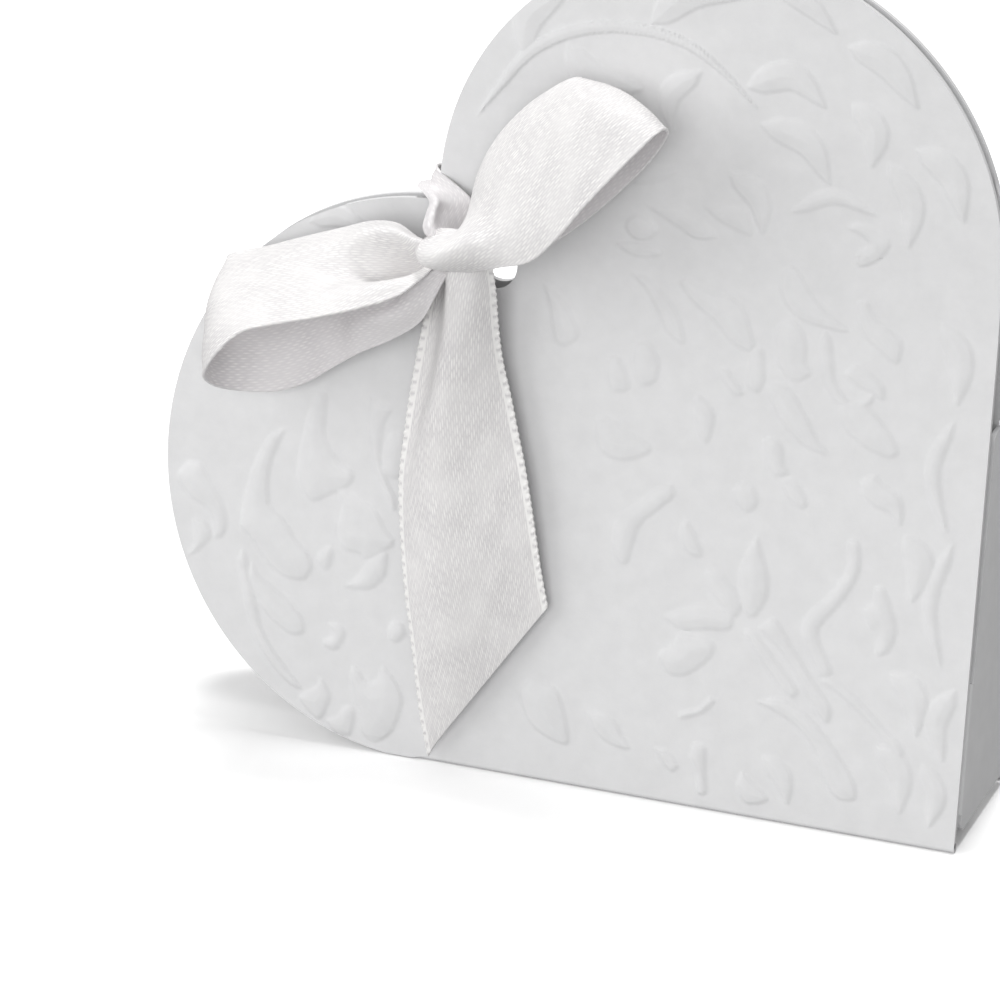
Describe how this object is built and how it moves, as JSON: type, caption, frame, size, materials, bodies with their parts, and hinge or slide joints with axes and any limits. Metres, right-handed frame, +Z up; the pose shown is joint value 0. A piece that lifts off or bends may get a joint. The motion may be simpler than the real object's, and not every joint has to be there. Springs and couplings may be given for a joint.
{
  "type": "favor box",
  "caption": "Heart-shaped favor box of white embossed card, standing on one straight side, with folding panels and flaps, tied shut through a punched hole with a white satin ribbon bow.",
  "frame": {"origin": "middle of the underside of the base strip", "axes": "+X along the base towards the heart's tip, the front with the bow faces -Y, +Z up"},
  "size_m": [0.084, 0.0241, 0.084],
  "materials": {
    "embossed_card": "matte, embossed",
    "satin_ribbon": "satin"
  },
  "bodies": {
    "base": {"base_panel": "embossed_card"},
    "front": {"front_panel": "embossed_card", "ribbon_through_loop": "satin_ribbon", "bow_knot": "satin_ribbon", "left_loop": "satin_ribbon", "right_loop": "satin_ribbon", "front_tail": "satin_ribbon", "rear_tail": "satin_ribbon"},
    "back": {"back_panel": "embossed_card"},
    "flap": {"side_flap": "embossed_card"},
    "lip": {"tuck_lip": "embossed_card"},
    "left_tongue": {"left_end_flap": "embossed_card"},
    "right_tongue": {"right_dust_flap": "embossed_card"}
  },
  "joints": [
    {"name": "front_panel_fold", "type": "hinge", "parent": "base", "child": "front", "pos_m": [0, -0.0085, 0.0005], "axis": [1, 0, 0], "range_deg": [0, 25], "deforming": ["ribbon_through_loop"]},
    {"name": "back_panel_fold", "type": "hinge", "parent": "base", "child": "back", "pos_m": [0, 0.0085, 0.0005], "axis": [-1, 0, 0], "range_deg": [0, 90], "deforming": ["ribbon_through_loop"]},
    {"name": "side_flap_fold", "type": "hinge", "parent": "back", "child": "flap", "pos_m": [0.0275, 0.0085, 0.0005], "axis": [0, -0.1566, 0.9877], "range_deg": [0, 95]},
    {"name": "tuck_lip_fold", "type": "hinge", "parent": "flap", "child": "lip", "pos_m": [0.0275, -0.00563, 0.00966], "axis": [0, -0.1566, -0.9877], "range_deg": [0, 60]},
    {"name": "left_end_flap_fold", "type": "hinge", "parent": "base", "child": "left_tongue", "pos_m": [-0.0275, 0, 0.0005], "axis": [0, -1, 0], "range_deg": [-80, 90]},
    {"name": "right_dust_flap_fold", "type": "hinge", "parent": "base", "child": "right_tongue", "pos_m": [0.0265, 0, 0.0005], "axis": [0, -1, 0], "range_deg": [0, 80]}
  ]
}
